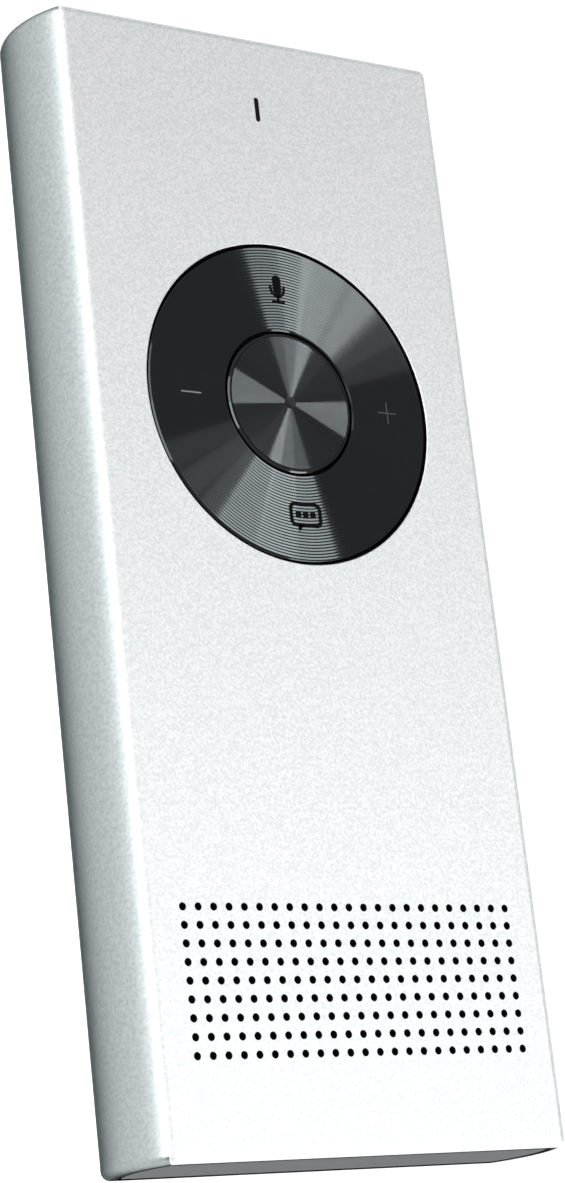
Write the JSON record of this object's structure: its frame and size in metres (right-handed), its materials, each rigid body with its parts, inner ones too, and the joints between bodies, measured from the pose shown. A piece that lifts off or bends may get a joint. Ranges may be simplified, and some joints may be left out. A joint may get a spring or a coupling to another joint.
{
  "type": "handheld translator",
  "caption": "Slim handheld voice translator: bow-sided aluminium tube with a round tilting thumb dial, centre button, status window, speaker grille and a charging socket in its top end.",
  "frame": {"origin": "middle of the flat back, at the bottom centre of the overall box", "axes": "+X across the face to its right, +Y along the body to the top end, +Z out of the face"},
  "size_m": [0.053, 0.1238, 0.0134],
  "materials": {
    "silver_aluminium": "bead-blasted and clear anodised, polished end chamfers",
    "black_aluminium": "turned and black anodised, glossy",
    "grey_cap_plastic": "fine moulded texture",
    "black_window": "polished smoked polycarbonate",
    "black_plastic": "moulded, fine texture",
    "circuit_board": "solder mask over glass-fibre board",
    "steel": "thin stamped steel",
    "white_part": "small moulded package",
    "black_foam": "closed-cell foam and silicone",
    "speaker_cloth": "fine woven acoustic cloth",
    "speaker_film": "thin polymer cone with rubber surround",
    "battery_foil": "laminated pouch foil",
    "copper_film": "copper track on polyimide film",
    "flex_film": "amber polyimide film over copper tracks"
  },
  "bodies": {
    "root": {"body_extrusion": "silver_aluminium", "bottom_end_cap": "grey_cap_plastic", "top_end_cap": "grey_cap_plastic", "indicator_lens": "black_window", "chassis_tray": "black_plastic", "dial_frame": "black_plastic", "keypad_connector": "black_plastic", "battery_connector": "black_plastic", "usb_c_tongue": "black_plastic", "board_chips": "black_plastic", "speaker_basket": "black_plastic", "main_board": "circuit_board", "keypad_board": "circuit_board", "battery_board": "circuit_board", "shield_cans": "steel", "board_screws": "steel", "frame_screws": "steel", "domes_up_down": "steel", "domes_left_right": "steel", "centre_dome": "steel", "usb_c_socket": "steel", "speaker_magnet": "steel", "antenna_contact": "steel", "indicator_led": "white_part", "microphones": "white_part", "speaker_gasket": "black_foam", "speaker_pad": "black_foam", "mic_boots": "black_foam", "battery_pad": "black_foam", "speaker_cloth": "speaker_cloth", "speaker_diaphragm": "speaker_film", "battery": "battery_foil", "antenna_film": "copper_film", "battery_flex": "flex_film", "speaker_flex": "flex_film"},
    "gimbal": {"gimbal_ring": "steel"},
    "dial": {"dial_ring": "black_aluminium", "dial_carrier": "black_plastic"},
    "centre_button": {"centre_cap": "black_aluminium", "centre_plunger": "black_plastic"}
  },
  "joints": [
    {"name": "dial_tilt_up_down", "type": "hinge", "parent": "root", "child": "gimbal", "pos_m": [0, 0.01845, 0.00996], "axis": [1, 0, 0], "range_deg": [-1, 1], "stiffness_Nm_per_rad": 1.2, "deforming": ["domes_up_down"]},
    {"name": "dial_tilt_left_right", "type": "hinge", "parent": "gimbal", "child": "dial", "pos_m": [0, 0.01845, 0.00996], "axis": [0, 1, 0], "range_deg": [-1, 1], "stiffness_Nm_per_rad": 1.2, "deforming": ["domes_left_right"]},
    {"name": "centre_press", "type": "slide", "parent": "root", "child": "centre_button", "axis": [0, 0, -1], "range_m": [0, 0.00025], "stiffness_N_per_m": 8000, "deforming": ["centre_dome"]}
  ]
}
